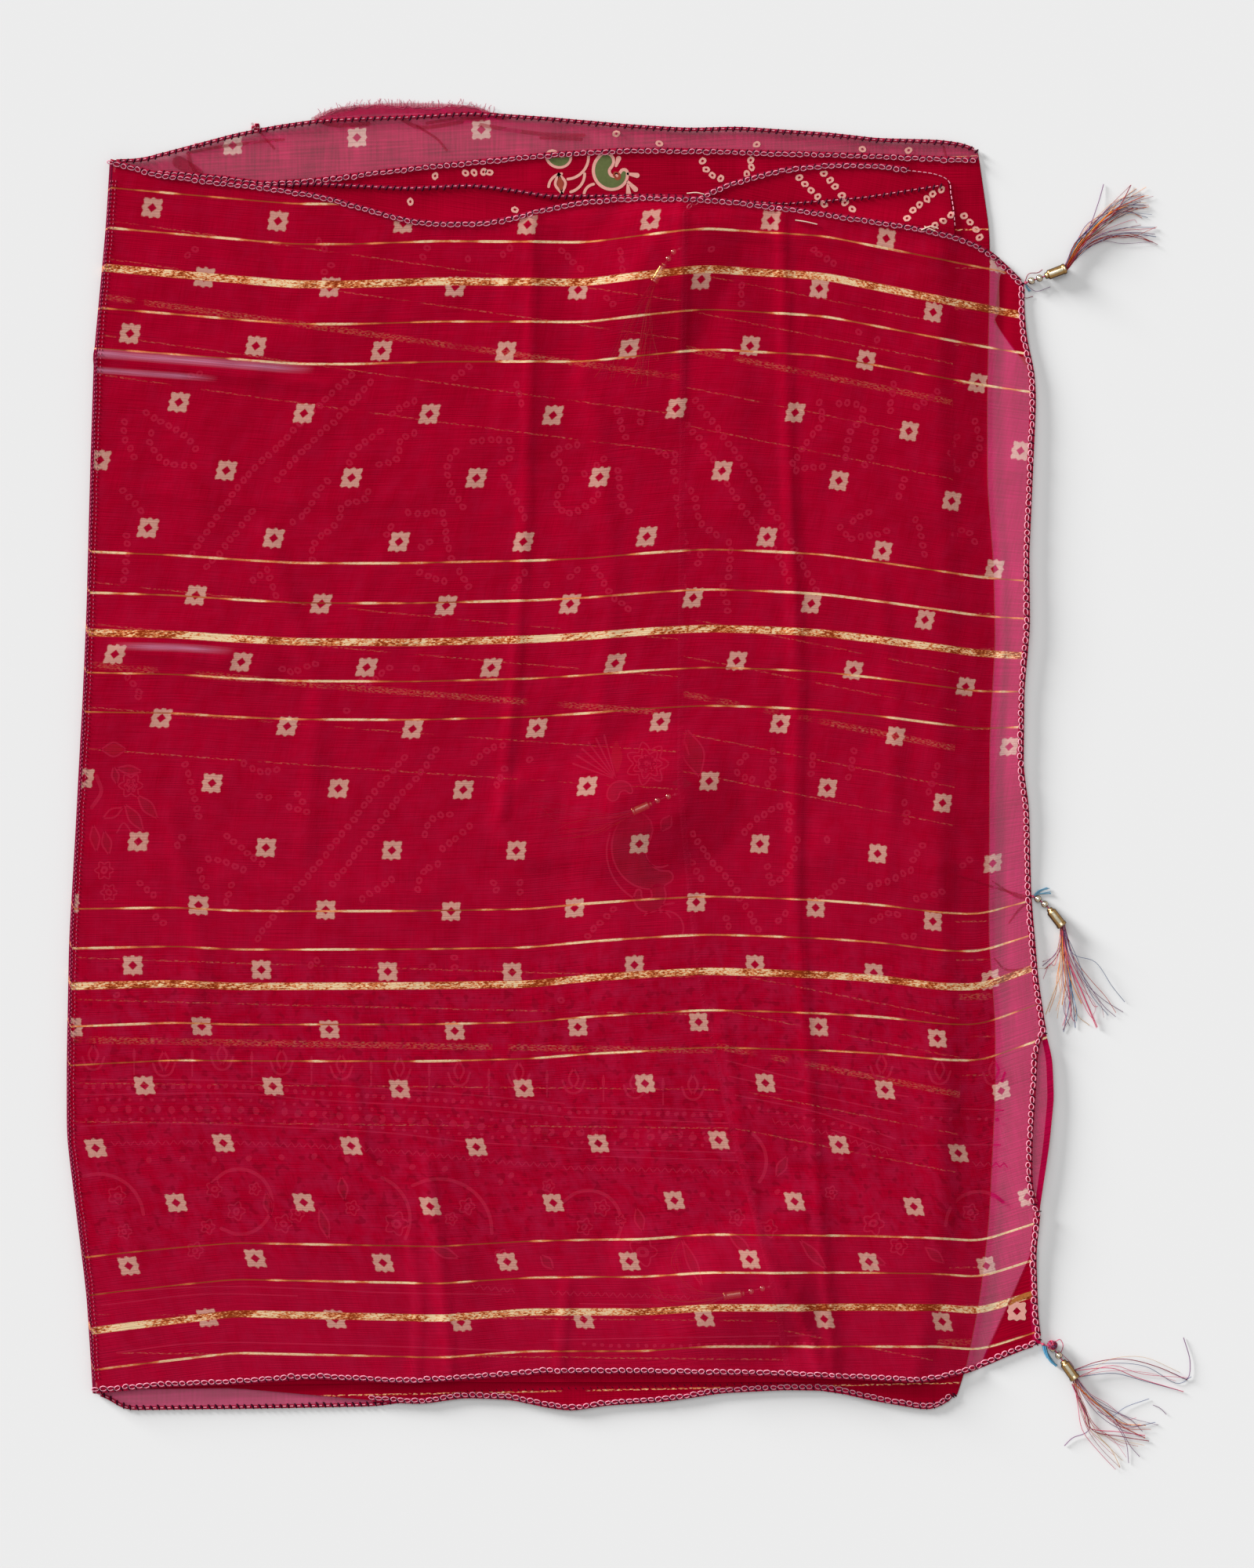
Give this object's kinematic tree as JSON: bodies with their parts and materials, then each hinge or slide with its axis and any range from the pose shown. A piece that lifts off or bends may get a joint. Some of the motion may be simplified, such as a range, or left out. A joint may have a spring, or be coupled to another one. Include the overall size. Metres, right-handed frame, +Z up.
{
  "type": "folded bandhani scarf cloth",
  "caption": "Long sheer bandhani scarf cloth folded back and forth into a flat rectangular bundle, with beaded cord tassels along its short ends.",
  "frame": {"origin": "centre of the bounding box's underside, on the surface that the folded cloth lies on", "axes": "+Z up from the surface, +X towards the free short end with the three open tassels, +Y along that end towards the edge where the plies are spread out"},
  "size_m": [0.7156, 0.8673, 0.0132],
  "materials": {
    "crimson_cloth": "sheer crimson chiffon with gold stripes and pale resist-dyed motifs",
    "gilt_bead": "bright gilt",
    "brass": "polished",
    "blue_thread": "twisted thread",
    "mixed_thread": "soft silky threads"
  },
  "bodies": {
    "root": {"cloth": "crimson_cloth", "tassel_1_bead_1": "gilt_bead", "tassel_1_bead_2": "gilt_bead", "tassel_1_cap": "brass", "tassel_1_strands": "mixed_thread", "tassel_1_tie": "blue_thread", "tassel_2_bead_1": "gilt_bead", "tassel_2_bead_2": "gilt_bead", "tassel_2_cap": "brass", "tassel_2_strands": "mixed_thread", "tassel_2_tie": "blue_thread", "tassel_3_bead_1": "gilt_bead", "tassel_3_bead_2": "gilt_bead", "tassel_3_cap": "brass", "tassel_3_strands": "mixed_thread", "tassel_3_tie": "blue_thread", "tassel_4_bead_1": "gilt_bead", "tassel_4_bead_2": "gilt_bead", "tassel_4_cap": "brass", "tassel_4_strands": "mixed_thread", "tassel_4_tie": "blue_thread", "tassel_5_bead_1": "gilt_bead", "tassel_5_bead_2": "gilt_bead", "tassel_5_cap": "brass", "tassel_5_strands": "mixed_thread", "tassel_5_tie": "blue_thread", "tassel_6_bead_1": "gilt_bead", "tassel_6_bead_2": "gilt_bead", "tassel_6_cap": "brass", "tassel_6_strands": "mixed_thread", "tassel_6_tie": "blue_thread"}
  },
  "joints": []
}
